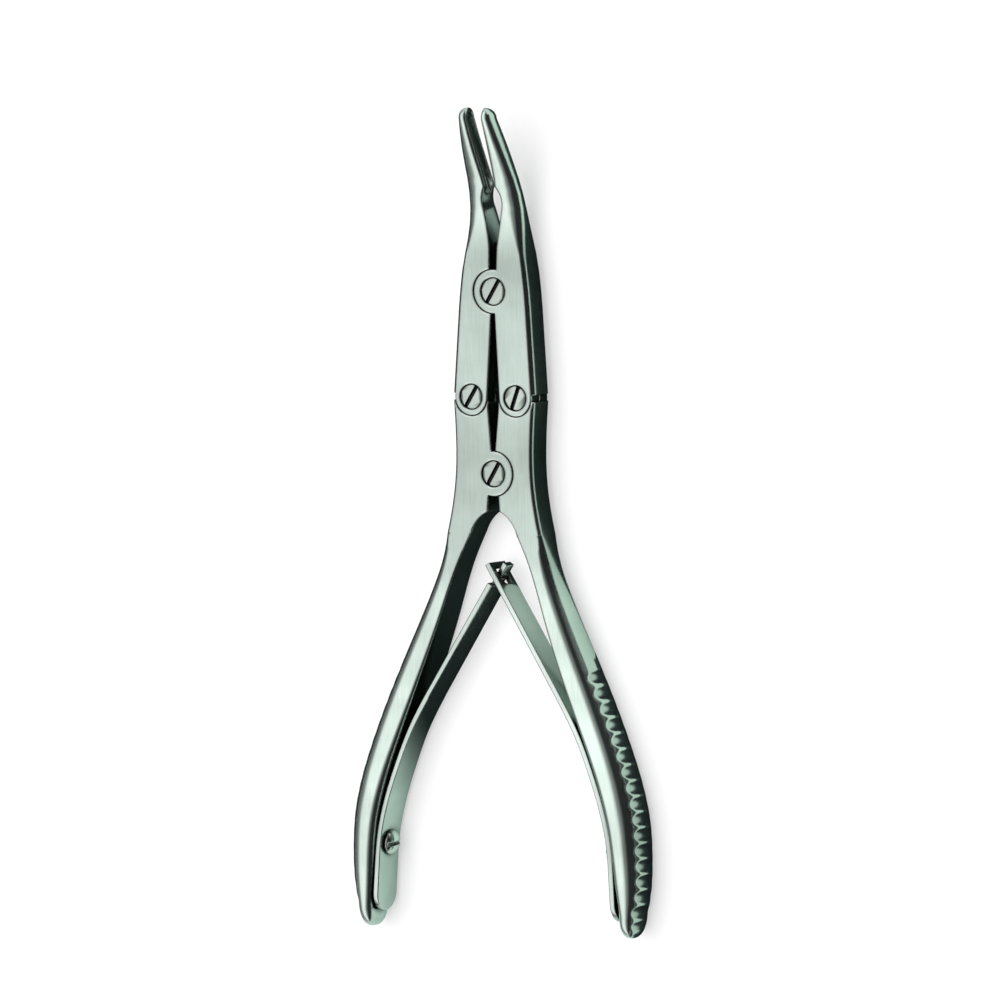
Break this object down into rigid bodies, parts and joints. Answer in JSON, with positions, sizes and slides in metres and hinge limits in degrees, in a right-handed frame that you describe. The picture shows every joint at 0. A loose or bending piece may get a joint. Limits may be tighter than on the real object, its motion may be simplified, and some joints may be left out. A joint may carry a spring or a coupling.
{
  "type": "bone rongeur",
  "caption": "Double action surgical bone rongeur with curved cup jaws, serrated spring handles and slotted pivot screws.",
  "frame": {"origin": "handle pivot's axis on the box's back face", "axes": "+Z out of the front face, where the jaws curve to; +Y towards the jaws; +X towards the right handle"},
  "size_m": [0.0722, 0.1789, 0.0174],
  "materials": {
    "satin_steel": "satin",
    "screw_steel": "satin",
    "spring_steel": "polished"
  },
  "bodies": {
    "left_handle": {"left_handle": "satin_steel", "left_link_screw": "screw_steel", "left_spring_screw": "screw_steel"},
    "right_handle": {"right_handle": "satin_steel", "handle_pivot_screw": "screw_steel", "right_link_screw": "screw_steel", "right_spring_screw": "screw_steel"},
    "left_jaw": {"left_jaw": "satin_steel", "jaw_pivot_screw": "screw_steel"},
    "right_jaw": {"right_jaw": "satin_steel"},
    "left_spring": {"left_spring": "spring_steel"},
    "right_spring": {"right_spring": "spring_steel"}
  },
  "joints": [
    {"name": "handle_hinge", "type": "hinge", "parent": "left_handle", "child": "right_handle", "pos_m": [0, 0, 0.0035], "axis": [0, 0, -1], "range_deg": [-8, 7.85], "stiffness_Nm_per_rad": 3},
    {"name": "left_link_hinge", "type": "hinge", "parent": "left_handle", "child": "left_jaw", "pos_m": [-0.0055, 0.0165, 0.0035], "axis": [0, 0, -1], "range_deg": [-6.91, 6.78]},
    {"name": "jaw_hinge", "type": "hinge", "parent": "left_jaw", "child": "right_jaw", "pos_m": [0, 0.0394, 0.0035], "axis": [0, 0, 1], "range_deg": [-5.79, 5.69]},
    {"name": "left_spring_bend", "type": "hinge", "parent": "left_handle", "child": "left_spring", "pos_m": [-0.02962, -0.081, 0.0035], "axis": [0, 0, 1], "range_deg": [-1.57, 1.55]},
    {"name": "right_spring_bend", "type": "hinge", "parent": "right_handle", "child": "right_spring", "pos_m": [0.02962, -0.081, 0.0035], "axis": [0, 0, -1], "range_deg": [-1.57, 1.55]}
  ],
  "couplings": [
    {"joint": "left_link_hinge", "follows": "handle_hinge", "ratio": 0.8603},
    {"joint": "jaw_hinge", "follows": "handle_hinge", "ratio": 0.7205},
    {"joint": "left_spring_bend", "follows": "handle_hinge", "ratio": 0.193},
    {"joint": "right_spring_bend", "follows": "handle_hinge", "ratio": 0.193}
  ]
}
